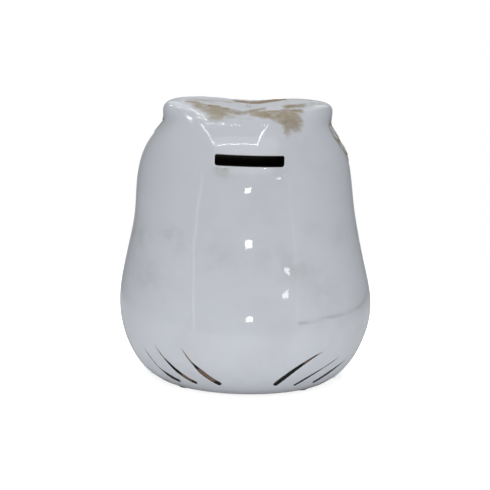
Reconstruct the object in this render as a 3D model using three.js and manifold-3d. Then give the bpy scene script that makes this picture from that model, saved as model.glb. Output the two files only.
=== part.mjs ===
// Owl coin bank: a hollow glazed casting, a rubber stopper in its base and four felt pads.
// Millimetres, +Z up. The origin is the middle of the base on the surface that it stands on,
// and the owl faces -Y, so the coin slot is on the +Y side of the head.
import * as THREE from 'three';
import { mergeVertices } from 'three/addons/utils/BufferGeometryUtils.js';
import Module from 'manifold-3d';

// Driving dimensions
const wall = 4.6;            // thickness of the cast wall
const baseThickness = 5;     // thickness of the floor of the chamber
const padThickness = 1.2;
const padRadius = 4.2;
const padRing = 40.6;        // radius of the circle that the pads stand on
const padCount = 4;
const recessRadius = 35;     // hollow inside the foot ring
const recessDepth = 4.4;     // from the foot ring up to the floor
const holeRadius = 16;       // access hole for the stopper
const slotWidth = 34;
const slotHeight = 5;
const slotCorner = 1;        // radius of the slot's corners
const slotX = -0.7;          // the slot sits a little off the middle of the head
const slotZ = 118.6;
const slotInner = 20;         // the slot's cutter runs between these two distances from the axis
const slotOuter = 70;
const fit = 0.3;             // gap between the stopper and the casting
const spare = 5;             // how far a cutter runs past the face that it opens

// Stopper
const flangeRadius = 20;
const flangeThickness = 1.8;
const flangeChamfer = 0.6;
const plugRise = 3;          // how far the plug stands above the floor of the chamber
const plugWall = 3.4;
const plugFloor = 1.6;
const plugTaper = 0.8;       // how far the plug's mouth is drawn in outside, for easy fitting
const hollowTaper = 0.6;     // how far its hollow narrows towards the floor
const ribCount = 3;
const ribDepth = 1.1;
const ribStart = 0.4;        // heights on one rib: the foot, the two edges of its crest, the foot
const ribCrestStart = 1.1;
const ribCrestEnd = 1.9;
const ribEnd = 2.6;
const barHalf = 8;           // from the middle of the grip bar to the centre of a round end
const barRadius = 2.4;
const barHeight = 1.5;
const barRoot = 0.5;         // how far the bar reaches into the flange

// How finely the casting is divided. Its columns crowd towards the face.
const aroundOuter = 72;
const aroundInner = 36;
const crowding = 0.3;
const stepsOuter = 2;        // steps in each stretch of an outline
const stepsInner = 1;
const holeSides = 48;
const stopperSides = 40;
const padSides = 24;

// Outlines of the casting as [distance from the axis, height above the foot], from the foot ring
// up to the middle of the crown. They are the control points of one smooth surface.
const backOutline = [
  [46.4, 0], [51.6, 3.5], [56.2, 10], [60.2, 20], [61.1, 35], [57.4, 51], [51, 67], [49.2, 83],
  [48.7, 97], [48.3, 109], [44.6, 118.5], [39, 127], [32.8, 133.6], [24.8, 137.6], [15.8, 139.6],
  [9, 140], [4, 140.2], [0, 140.2],
];
const backCornerOutline = [
  [46.4, 0], [51.8, 3.5], [56.9, 10], [61.4, 20], [63.6, 35], [61, 51], [57.2, 67], [54, 83],
  [52.2, 97], [50.5, 109], [47.5, 118.5], [43.3, 127], [38.6, 133], [32.8, 137.4], [24.5, 140.2],
  [15, 140.9], [7.5, 140.5], [0, 140.2],
];
const sideOutline = [
  [46.4, 0], [52, 3.5], [57.8, 10], [63.2, 20], [67.1, 35], [65.2, 51], [61, 67], [58.2, 83],
  [57.5, 97], [56, 109], [53.2, 118.5], [47.2, 126.6], [42, 131.4], [46, 137.2], [44.8, 142.8],
  [30, 142.2], [15, 141.2], [0, 140.2],
];
const frontCornerOutline = [
  [46.4, 0], [51.8, 3.5], [56.9, 10], [61.6, 20], [64.2, 35], [63.4, 51], [60.6, 67], [57.4, 83],
  [55, 97], [53.2, 109], [51, 118.5], [48.6, 126.6], [46.2, 132], [46.2, 137.6], [42.6, 142.4],
  [30, 142.2], [15, 141.2], [0, 140.2],
];
const frontOutline = [
  [46.4, 0], [51.4, 3.5], [56, 10], [59.4, 20], [60.6, 35], [60.2, 51], [58, 67], [54, 83],
  [50.6, 97], [48.6, 109], [46.8, 118.5], [45, 126.6], [42.4, 132.6], [38.4, 137.2], [30.5, 139.6],
  [20, 140.2], [10, 140.2], [0, 140.2],
];
const outlines = [
  backOutline, backCornerOutline, sideOutline, frontCornerOutline,
  frontOutline, frontCornerOutline, sideOutline, backCornerOutline,
];
const crown = backOutline.length - 1;

// The upper body stands a little to one side, as the real casting does.
const swayShift = 1.8;
const swayHeight = 98;
const swaySpread = 34;

const bell = (distance) => Math.exp(-distance * distance);
const smooth = (from, to, value) => {
  const t = Math.min(Math.max((value - from) / (to - from), 0), 1);
  return t * t * (3 - 2 * t);
};

const cubicWeights = (t) => [
  (1 - t) ** 3 / 6,
  (3 * t ** 3 - 6 * t ** 2 + 4) / 6,
  (-3 * t ** 3 + 3 * t ** 2 + 3 * t + 1) / 6,
  t ** 3 / 6,
];

// Control point of one outline. Below the foot the outline is mirrored in its first point, and
// beyond the crown it runs down the opposite outline.
const control = (column, row) => {
  const count = outlines.length;
  const outline = outlines[(column + count) % count];
  if (row < 0) {
    return [2 * outline[0][0] - outline[1][0], 2 * outline[0][1] - outline[1][1]];
  }
  if (row > crown) {
    const opposite = outlines[(column + count / 2) % count][2 * crown - row];
    return [-opposite[0], opposite[1]];
  }
  return outline[row];
};

// Distance from the axis and height, for a turn in radians from the back and a step up the outline.
const outlineAt = (turn, step) => {
  const along = (turn / (2 * Math.PI)) * outlines.length;
  const column = Math.floor(along);
  const row = Math.min(Math.floor(step), crown - 1);
  const across = cubicWeights(along - column);
  const up = cubicWeights(step - row);
  let radius = 0;
  let height = 0;
  for (let i = 0; i < 4; i += 1) {
    for (let j = 0; j < 4; j += 1) {
      const point = control(column + i - 1, row + j - 1);
      radius += across[i] * up[j] * point[0];
      height += across[i] * up[j] * point[1];
    }
  }
  return [radius, height];
};

const sway = (height) => swayShift * bell((height - swayHeight) / swaySpread);

// Low relief of the owl's front: a round disc about each eye, the eye, the beak and the feet.
// Each has a place, how far it rises, and either the radii between which it fades or a spread.
const eyeX = 19;
const eyeZ = 112;
const eyeRise = 2.4;
const eyeRadius = 9.5;
const eyeFlat = 3.5;
const discRise = 1.8;
const discRadius = 20.5;
const discFlat = 15;
const beakZ = 99;
const beakRise = 6;
const beakSpreadX = 5.5;
const beakSpreadZ = 9;
const toeX = 15;
const toeZ = 8;
const toeRise = 3.5;
const toeSpreadX = 9;
const toeSpreadZ = 6;
const relief = (x, z) => {
  const fromEye = Math.hypot(Math.abs(x) - eyeX, z - eyeZ);
  const disc = discRise * smooth(discRadius, discFlat, fromEye);
  const eye = eyeRise * smooth(eyeRadius, eyeFlat, fromEye);
  const beak = beakRise * bell(x / beakSpreadX) * bell((z - beakZ) / beakSpreadZ);
  const toes = toeRise * bell((Math.abs(x) - toeX) / toeSpreadX) * bell((z - toeZ) / toeSpreadZ);
  return disc + eye + beak + toes;
};

// The relief fades in as the surface turns to the front, and stands out mostly forwards.
const frontFrom = 0.15;
const frontFull = 0.6;
const outSideways = 0.4;
const outForwards = 0.9;

// A point of the outer surface of the casting
const bodyPoint = (turn, step) => {
  const [radius, height] = outlineAt(turn, step);
  const x = radius * Math.sin(turn);
  const y = radius * Math.cos(turn);
  const facing = smooth(frontFrom, frontFull, -Math.cos(turn));
  const out = facing * relief(x, height);
  return [
    x + out * Math.sin(turn) * outSideways + sway(height),
    y - out * outForwards,
    height + padThickness,
  ];
};

// The chamber follows the outer surface at about the thickness of the wall.
const chamberFloor = padThickness + recessDepth + baseThickness;
const chamberTop = padThickness + backOutline[crown][1] - wall;
const chamberPoint = (turn, step) => {
  const [radius, height] = outlineAt(turn, step);
  const share = height / backOutline[crown][1];
  const inner = Math.max(radius - wall, 0);
  return [
    inner * Math.sin(turn) + sway(height),
    inner * Math.cos(turn),
    chamberFloor + share * (chamberTop - chamberFloor),
  ];
};

// Closed mesh of rings of points from the foot up to the crown
const closedLoft = (pointAt, around, steps) => {
  const levels = crown * steps;
  const positions = [];
  const faces = [];
  for (let level = 0; level < levels; level += 1) {
    for (let i = 0; i < around; i += 1) {
      const even = (2 * Math.PI * i) / around;
      positions.push(...pointAt(even + crowding * Math.sin(even), level / steps));
    }
  }
  const bottom = positions.length / 3;
  positions.push(sway(0), 0, pointAt(0, 0)[2]);
  const top = bottom + 1;
  positions.push(...pointAt(0, crown));
  for (let i = 0; i < around; i += 1) {
    const next = (i + 1) % around;
    for (let level = 0; level < levels - 1; level += 1) {
      const a = level * around + i;
      const b = level * around + next;
      faces.push(a, a + around, b);
      faces.push(b, a + around, b + around);
    }
    const last = (levels - 1) * around;
    faces.push(bottom, i, next);
    faces.push(last + i, top, last + next);
  }
  const geometry = new THREE.BufferGeometry();
  geometry.setAttribute('position', new THREE.Float32BufferAttribute(positions, 3));
  geometry.setIndex(faces);
  return geometry;
};

const wasm = await Module();
wasm.setup();

const toSolid = (geometry) => {
  const bare = geometry.clone();
  bare.deleteAttribute('normal');
  bare.deleteAttribute('uv');
  const merged = mergeVertices(bare, 1e-4);
  return new wasm.Manifold(new wasm.Mesh({
    numProp: 3,
    vertProperties: new Float32Array(merged.attributes.position.array),
    triVerts: new Uint32Array(merged.index.array),
  }));
};

const toGeometry = (solid) => {
  const mesh = solid.getMesh();
  const geometry = new THREE.BufferGeometry();
  geometry.setAttribute('position', new THREE.BufferAttribute(mesh.vertProperties, 3));
  geometry.setIndex(new THREE.BufferAttribute(mesh.triVerts, 1));
  geometry.computeVertexNormals();
  return geometry;
};

// Upright cylinder between two heights
const upright = (radius, from, to, sides) => {
  const geometry = new THREE.CylinderGeometry(radius, radius, to - from, sides);
  geometry.rotateX(Math.PI / 2);
  geometry.translate(0, 0, (from + to) / 2);
  return geometry;
};

// Level coin slot with rounded corners, cut straight through the back of the head
const slotCut = () => {
  const x = slotWidth / 2;
  const z = slotHeight / 2;
  const corner = slotCorner;
  const outline = new THREE.Shape();
  outline.absarc(x - corner, z - corner, corner, 0, Math.PI / 2, false);
  outline.absarc(corner - x, z - corner, corner, Math.PI / 2, Math.PI, false);
  outline.absarc(corner - x, corner - z, corner, Math.PI, 1.5 * Math.PI, false);
  outline.absarc(x - corner, corner - z, corner, 1.5 * Math.PI, 2 * Math.PI, false);
  outline.closePath();
  const depth = slotOuter - slotInner;
  const geometry = new THREE.ExtrudeGeometry(outline, { depth, bevelEnabled: false, curveSegments: 3 });
  geometry.rotateX(Math.PI / 2);
  geometry.translate(slotX, slotOuter, slotZ);
  return geometry;
};

const shellGeometry = () => {
  const foot = padThickness;
  const recessTop = foot + recessDepth;
  return toGeometry(
    toSolid(closedLoft(bodyPoint, aroundOuter, stepsOuter))
      .subtract(toSolid(closedLoft(chamberPoint, aroundInner, stepsInner)))
      .subtract(toSolid(upright(recessRadius, foot - spare, recessTop, holeSides)))
      .subtract(toSolid(upright(holeRadius, foot - spare, chamberFloor + spare, holeSides)))
      .subtract(toSolid(slotCut())),
  );
};

// Heights of the stopper's flange, where it meets the floor and where it is pulled
const seat = padThickness + recessDepth - fit;
const under = seat - flangeThickness;

// Hollow plug with ribs outside, on a thin flange below the floor
const plugGeometry = () => {
  const plug = holeRadius - fit;
  const groove = plug - ribDepth;
  const hollow = plug - plugWall;
  const top = chamberFloor + plugRise;
  const ribs = [];
  const ribPitch = (top - seat) / ribCount;
  for (let rib = 0; rib < ribCount; rib += 1) {
    const start = seat + rib * ribPitch;
    ribs.push([groove, start + ribStart], [plug, start + ribCrestStart]);
    ribs.push([plug, start + ribCrestEnd], [groove, start + ribEnd]);
  }
  const profile = [
    [0, under], [flangeRadius - flangeChamfer, under], [flangeRadius, under + flangeChamfer],
    [flangeRadius, seat], ...ribs, [groove - plugTaper, top], [hollow, top],
    [hollow - hollowTaper, seat + plugFloor], [0, seat + plugFloor],
  ].map(([radius, height]) => new THREE.Vector2(radius, height));
  const geometry = new THREE.LatheGeometry(profile, stopperSides);
  geometry.rotateX(Math.PI / 2);
  return geometry;
};

// Bar with round ends under the flange, to pull the stopper by
const barGeometry = () => {
  const outline = new THREE.Shape();
  outline.absarc(barHalf, 0, barRadius, -Math.PI / 2, Math.PI / 2, false);
  outline.absarc(-barHalf, 0, barRadius, Math.PI / 2, 1.5 * Math.PI, false);
  outline.closePath();
  const depth = barHeight + barRoot;
  const geometry = new THREE.ExtrudeGeometry(outline, { depth, bevelEnabled: false, curveSegments: 6 });
  geometry.translate(0, 0, under - barHeight);
  return geometry;
};

const stopperGeometry = () => toGeometry(toSolid(plugGeometry()).add(toSolid(barGeometry())));

const glaze = new THREE.MeshStandardMaterial({ color: 0xd9dbdc, roughness: 0.12, metalness: 0 });
const rubber = new THREE.MeshStandardMaterial({ color: 0x24221f, roughness: 0.7, metalness: 0 });
const felt = new THREE.MeshStandardMaterial({ color: 0x3a332c, roughness: 0.95, metalness: 0 });

const padGeometry = () => upright(padRadius, 0, padThickness, padSides);

const named = (geometry, material, name) => {
  const mesh = new THREE.Mesh(geometry, material);
  mesh.name = name;
  return mesh;
};

const bank = new THREE.Group();
bank.add(named(shellGeometry(), glaze, 'owl_shell'));
bank.add(named(stopperGeometry(), rubber, 'stopper'));
for (let i = 0; i < padCount; i += 1) {
  const turn = (2 * Math.PI * (i + 0.5)) / padCount;
  const pad = named(padGeometry(), felt, `felt_pad_${i + 1}`);
  pad.position.set(padRing * Math.sin(turn), padRing * Math.cos(turn), 0);
  bank.add(pad);
}

export default bank;
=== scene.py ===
import math

import bmesh
import bpy
import numpy as np
from mathutils import Matrix, Vector


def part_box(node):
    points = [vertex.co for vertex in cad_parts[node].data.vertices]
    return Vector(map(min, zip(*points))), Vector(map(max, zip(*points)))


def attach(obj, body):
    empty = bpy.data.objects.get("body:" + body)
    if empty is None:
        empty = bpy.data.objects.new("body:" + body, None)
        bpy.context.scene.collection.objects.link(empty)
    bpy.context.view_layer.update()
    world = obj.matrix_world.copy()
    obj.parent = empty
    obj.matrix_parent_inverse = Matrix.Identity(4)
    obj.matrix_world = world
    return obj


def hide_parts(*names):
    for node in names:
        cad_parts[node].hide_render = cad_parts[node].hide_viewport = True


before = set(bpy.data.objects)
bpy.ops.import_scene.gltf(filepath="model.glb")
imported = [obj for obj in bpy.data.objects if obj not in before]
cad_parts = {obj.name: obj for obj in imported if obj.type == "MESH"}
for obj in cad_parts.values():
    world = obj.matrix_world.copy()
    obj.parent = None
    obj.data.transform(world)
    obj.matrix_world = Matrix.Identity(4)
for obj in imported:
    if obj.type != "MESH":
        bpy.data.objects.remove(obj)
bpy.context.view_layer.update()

MM = 0.001


def millimetres(node):
    """Lowest and highest corners of a CAD node, in millimetres."""
    low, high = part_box(node)
    return np.array(low) / MM, np.array(high) / MM


def add_object(name, data):
    made = bpy.data.objects.new(name, data)
    bpy.context.scene.collection.objects.link(made)
    return made


# ---- sizes from the frame
FOOT = millimetres("owl_shell")[0][2]
STOPPER_LOW, STOPPER_HIGH = millimetres("stopper")

# ---- the casting's own sizes, mm
WALL = 4.6
RECESS_RADIUS = 35.0
RECESS_DEPTH = 4.4
BASE_THICKNESS = 5.0
HOLE_RADIUS = 16.0
SLOT_X = -0.7
SLOT_Z = 118.6
SLOT_WIDTH = 34.0
SLOT_HEIGHT = 5.0
SLOT_CORNER = 1.0
SLOT_TILT = math.radians(0.6)
SLOT_AXES = np.array(Matrix.Rotation(SLOT_TILT, 2))
LIP = 0.8  # radius of the glazed edge of the slot
SWAY_SHIFT = 1.8  # how far the upper body stands to one side
SWAY_HEIGHT = 98.0
SWAY_SPREAD = 34.0

# Outlines of the casting from the foot ring to the middle of the crown: the control points of one
# smooth surface. Up to the head they share their heights above the foot.
LEVELS = [0, 3.5, 10, 20, 35, 51, 67, 83, 97, 109, 118.5]
CROWN_HEIGHT = 140.2


def outline(radii, *top):
    """One outline: distances from the axis at the shared levels, then (distance, height) above."""
    return [*zip(radii, LEVELS), *top, (0, CROWN_HEIGHT)]


BACK = outline(
    [46.4, 51.6, 56.2, 60.2, 61.1, 57.4, 51, 49.2, 48.7, 48.3, 44.6],
    (39, 127), (32.8, 133.6), (24.8, 137.6), (15.8, 139.6), (9, 140), (4, 140.2),
)
BACK_CORNER = outline(
    [46.4, 51.8, 56.9, 61.4, 63.6, 61, 57.2, 54, 52.2, 50.5, 47.5],
    (43.3, 127), (38.6, 133), (32.8, 137.4), (24.5, 140.2), (15, 140.9), (7.5, 140.5),
)
SIDE = outline(
    [46.4, 52, 57.8, 63.2, 67.1, 65.2, 61, 58.2, 57.5, 56, 53.2],
    (47.2, 126.6), (42, 131.4), (46, 137.2), (44.8, 142.8), (30, 142.2), (15, 141.2),
)
FRONT_CORNER = outline(
    [46.4, 51.8, 56.9, 61.6, 64.2, 63.4, 60.6, 57.4, 55, 53.2, 51],
    (48.6, 126.6), (46.2, 132), (46.2, 137.6), (42.6, 142.4), (30, 142.2), (15, 141.2),
)
FRONT = outline(
    [46.4, 51.4, 56, 59.4, 60.6, 60.2, 58, 54, 50.6, 48.6, 46.8],
    (45, 126.6), (42.4, 132.6), (38.4, 137.2), (30.5, 139.6), (20, 140.2), (10, 140.2),
)
OUTLINES = np.array([
    BACK, BACK_CORNER, SIDE, FRONT_CORNER, FRONT, FRONT_CORNER, SIDE, BACK_CORNER,
], float)
CROWN = len(BACK) - 1
CHAMBER_FLOOR = FOOT + RECESS_DEPTH + BASE_THICKNESS
CHAMBER_TOP = FOOT + CROWN_HEIGHT - WALL


# ---- form of the casting
def bell(distance):
    return np.exp(-distance * distance)


def smooth(start, end, value):
    t = np.clip((value - start) / (end - start), 0, 1)
    return t * t * (3 - 2 * t)


def cubic_weights(t):
    return np.stack([
        (1 - t) ** 3,
        3 * t ** 3 - 6 * t ** 2 + 4,
        -3 * t ** 3 + 3 * t ** 2 + 3 * t + 1,
        t ** 3,
    ]) / 6


def control(column, row):
    """Control points of the outlines; beyond the foot and the crown they are mirrored."""
    count = len(OUTLINES)
    column = column % count
    inside = OUTLINES[column, np.clip(row, 0, CROWN)]
    below = 2 * OUTLINES[column, 0] - OUTLINES[column, 1]
    opposite = OUTLINES[(column + count // 2) % count, np.clip(2 * CROWN - row, 0, CROWN)]
    beyond = opposite * np.array([-1.0, 1.0])
    points = np.where((row < 0)[..., None], below, inside)
    return np.where((row > CROWN)[..., None], beyond, points)


def outline_at(turn, step):
    """Distance from the axis and height, for a turn from the back and a step up the outline."""
    along = turn / (2 * math.pi) * len(OUTLINES)
    column = np.floor(along).astype(int)
    row = np.clip(np.floor(step).astype(int), 0, CROWN - 1)
    across = cubic_weights(along - column)
    up = cubic_weights(step - row)
    found = np.zeros(np.shape(turn) + (2,))
    for i in range(4):
        for j in range(4):
            weight = (across[i] * up[j])[..., None]
            found += weight * control(column + i - 1, row + j - 1)
    return found[..., 0], found[..., 1]


def sway(height):
    return SWAY_SHIFT * bell((height - SWAY_HEIGHT) / SWAY_SPREAD)


def body_point(turn, step):
    radius, height = outline_at(turn, step)
    x = radius * np.sin(turn) + sway(height)
    return np.stack([x, radius * np.cos(turn), height + FOOT], -1)


def chamber_point(turn, step):
    radius, height = outline_at(turn, step)
    inner = np.maximum(radius - WALL, 0)
    z = CHAMBER_FLOOR + height / CROWN_HEIGHT * (CHAMBER_TOP - CHAMBER_FLOOR)
    return np.stack([inner * np.sin(turn) + sway(height), inner * np.cos(turn), z], -1)


def slopes(point_at, turn, step, nudge=1e-4):
    across = (point_at(turn + nudge, step) - point_at(turn - nudge, step)) / (2 * nudge)
    up = (point_at(turn, step + nudge) - point_at(turn, step - nudge)) / (2 * nudge)
    return across, up


def normals(turn, step):
    across, up = slopes(body_point, turn, step)
    outward = np.cross(up, across)
    return outward / np.maximum(np.linalg.norm(outward, axis=-1, keepdims=True), 1e-9)


def locate(point_at, x, z, turn, step, rounds=12):
    """Turn and step where the surface seen from behind has the given x and z."""
    for _ in range(rounds):
        here = point_at(turn, step)
        across, up = slopes(point_at, turn, step)
        miss_x, miss_z = x - here[..., 0], z - here[..., 2]
        scale = across[..., 0] * up[..., 2] - across[..., 2] * up[..., 0]
        turn = turn + (miss_x * up[..., 2] - miss_z * up[..., 0]) / scale
        step = step + (miss_z * across[..., 0] - miss_x * across[..., 2]) / scale
    return turn, step


# ---- lines drawn on the surface
def near_path(spots, path):
    """Distance from each spot to a bent line, and how far along the line that is, 0 to 1."""
    lengths = np.linalg.norm(np.diff(path, axis=0), axis=1)
    marks = np.concatenate([[0], np.cumsum(lengths)]) / lengths.sum()
    nearest = np.full(spots.shape[:-1], np.inf)
    share = np.zeros(spots.shape[:-1])
    for k, (a, b) in enumerate(zip(path, path[1:])):
        ab = b - a
        s = np.clip((spots - a) @ ab / (ab @ ab), 0, 1)
        gap = np.linalg.norm(spots - (a + s[..., None] * ab), axis=-1)
        closer = gap < nearest
        nearest = np.where(closer, gap, nearest)
        share = np.where(closer, marks[k] + s * (marks[k + 1] - marks[k]), share)
    return nearest, share


# Brush strokes by the foot. Each runs from its thin upper end through its middle to its round
# lower end, as (x, z) seen from behind. Then come half its full width, the shares of its length
# where it stops being a fine hair and where it is full, and where its middle is brown.
STROKES = [
    ((50.7, 21.9), (42.2, 11.8), (33.0, 6.3), 1.5, (0.62, 0.86), (1.0, 1.0)),
    ((45.2, 25.2), (34.8, 13.8), (24.3, 7.1), 1.15, (0.34, 0.66), (0.70, 0.97)),
    ((31.4, 26.6), (22.9, 15.9), (12.1, 8.0), 1.35, (0.38, 0.66), (0.50, 0.94)),
    ((-40.4, 24.6), (-28.6, 18.1), (-16.2, 8.1), 1.4, (0.12, 0.90), (0.10, 0.44)),
    ((-48.6, 19.3), (-38.2, 13.6), (-26.0, 6.4), 0.85, (0.45, 0.95), (1.0, 1.0)),
    ((-52.7, 15.9), (-45.2, 11.5), (-36.2, 6.2), 1.25, (0.20, 0.72), (1.0, 1.0)),
]
STROKE_HAIR = 0.36  # half width of the fine hair
STROKE_FAR = 8.0  # distance that counts as away from every stroke
STROKE_TOP = 40.0  # no stroke reaches this height
END = 1e-6  # share of a stroke that counts as its very end
FLANK_RADIUS = 48.0  # rough radius and rise of a step by the foot, where a search starts
FLANK_RISE = 12.0


# What the marks say away from every stroke
NO_STROKE = {
    "across": STROKE_FAR, "beyond": STROKE_FAR, "half": STROKE_HAIR, "dark_stroke": 0.0,
    "core": 0.0, "fade": 0.0,
}


def stroke_path(start, middle, end, count=40):
    """Points in space along one stroke, on the surface."""
    t = np.linspace(0, 1, count)[:, None]
    a, b, c = (np.array(p) for p in (start, middle, end))
    bend = 2 * b - (a + c) / 2
    flat = (1 - t) ** 2 * a + 2 * t * (1 - t) * bend + t ** 2 * c
    turn = np.arctan2(flat[:, 0], FLANK_RADIUS)
    step = 1.0 + flat[:, 1] / FLANK_RISE
    return body_point(*locate(body_point, flat[:, 0], flat[:, 1], turn, step))


def stroke_marks(points, outward):
    """How far each point is across and beyond the nearest stroke, and that stroke's look there.

    The side that counts as positive changes from one stroke to the next, so that the distance
    across never changes sign between two strokes.
    """
    marks = {name: np.full(points.shape[:-1], value) for name, value in NO_STROKE.items()}
    near = (points[..., 2] < STROKE_TOP) & (points[..., 1] > 0)
    spots, out = points[near], outward[near]
    found = {name: values[near] for name, values in marks.items()}
    nearest = np.full(len(spots), np.inf)
    for index, (start, middle, end, width, (hair, full), (core_from, core_to)) in enumerate(STROKES):
        path = stroke_path(start, middle, end)
        gap, t = near_path(spots, path)
        place = np.minimum((t * (len(path) - 1)).astype(int), len(path) - 2)
        step = path[place + 1] - path[place]
        step /= np.linalg.norm(step, axis=1, keepdims=True)
        offset = spots - path[place]
        run = np.einsum("ij,ij->i", offset, step)
        length = np.linalg.norm(path[1] - path[0])
        beyond = np.where(t < END, -run, np.where(t > 1 - END, run - length, 0))
        across = np.einsum("ij,ij->i", offset, np.cross(out, step)) * (-1) ** index
        look = {
            "across": np.clip(across, -STROKE_FAR, STROKE_FAR),
            "beyond": np.clip(beyond, 0, STROKE_FAR),
            "half": STROKE_HAIR + (width - STROKE_HAIR) * smooth(hair - 0.1, full, t),
            "dark_stroke": smooth(hair - 0.06, hair + 0.08, t),
            "core": smooth(core_from, core_from + 0.07, t) * smooth(core_to, core_to - 0.05, t),
            "fade": smooth(-0.02, 0.22, t),
        }
        closer = gap < nearest
        nearest = np.where(closer, gap, nearest)
        for name, values in look.items():
            found[name] = np.where(closer, values, found[name])
    for name, values in found.items():
        marks[name][near] = values
    return marks


# ---- relief of the front and crown
EYE_X = 19.0
EYE_Z = 112.0
EYE_RADIUS = 9.5
EYE_RISE = 2.4
EYE_FAR = 30.0  # distance that counts as away from the eyes
PUPIL = 4.7
IRIS = 7.7
DISC_RADIUS = 18.0  # round disc of short feathers about each eye
DISC_RISE = 1.8
DISC_RAYS = 26
BEAK_Z = 99.0
BEAK_RISE = 6.0
BROW_RISE = 1.3
TOE_X = 15.0
TOE_Z = 8.0
TOE_PITCH = 6.2
TOE_RISE = 3.5
EAR_TOP = 139.0  # the brown wash of the front ends below the tips of the ears
TOE_TOP = 14.0  # and the breast feathers begin above the toes
FEATHERS_ROUND = 36  # breast feathers in a full turn
FEATHER_RISE = 7.2  # height from one row of feathers to the next
FEATHER_HALF = 0.62  # half a feather's width, as a share of a column
FEATHER_LENGTH = 1.75  # a feather's length in rows
CROWN_RADIUS = 35.0


def ripples(points, size, count, seed):
    """Soft random unevenness: a sum of waves in random directions, about -1 to 1."""
    draw = np.random.default_rng(seed)
    total = np.zeros(points.shape[:-1])
    for _ in range(count):
        direction = draw.normal(size=3)
        direction /= np.linalg.norm(direction)
        wave = 2 * math.pi / (size * draw.uniform(0.7, 1.5))
        total += np.sin(points @ direction * wave + draw.uniform(0, 2 * math.pi))
    return total / math.sqrt(count)


def scallops(u, v):
    """Rows of overlapping round-tipped feathers: height 0 to 1, how close the edge is, and how
    far across the feather each place is."""
    height = np.zeros(np.shape(u))
    edge = np.zeros(np.shape(u))
    aside = np.ones(np.shape(u))
    taken = np.zeros(np.shape(u), bool)
    base = np.floor(v)
    for lift in (2, 1, 0):
        row = base + lift
        shift = np.where(row % 2 == 0, 0.0, 0.5)
        du = (u + shift) % 1.0 - 0.5
        dv = row - v
        reach = np.sqrt((du / FEATHER_HALF) ** 2 + (np.maximum(dv, 0) / FEATHER_LENGTH) ** 2)
        hit = (reach < 1) & ~taken
        height = np.where(hit, 0.25 + 0.75 * np.clip(dv / FEATHER_LENGTH, 0, 1), height)
        edge = np.where(hit, reach, edge)
        aside = np.where(hit, du, aside)
        taken |= hit
    return height, edge, aside


# Front edge of the wing as (height, degrees from the back), and how far short of that it stops
# above the -X shoulder, so that the breast shows from behind there
WING_EDGE = np.array([(0, 140), (20, 136), (60, 126), (100, 106), (116, 91), (128, 85), (145, 85)]).T
WING_SHORT = np.array([(100, 0), (110, 3), (118, 8), (127, 11), (132, 8), (136, 0)]).T
WING_LONG = 0.7  # share of that by which the wing reaches further on the +X side


def wing_edge(turn, z):
    """Turn from the back, in radians, of the front edge of the wing at a height."""
    short = np.interp(z, *WING_SHORT)
    return np.radians(np.interp(z, *WING_EDGE) - np.where(turn < 0, short, -WING_LONG * short))


# The brow of one side, from over the beak out to the ear, as (distance aside, height)
BROW = np.array([(1, 104), (7, 114), (17, 124), (29, 130), (40, 136)], float)


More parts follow.
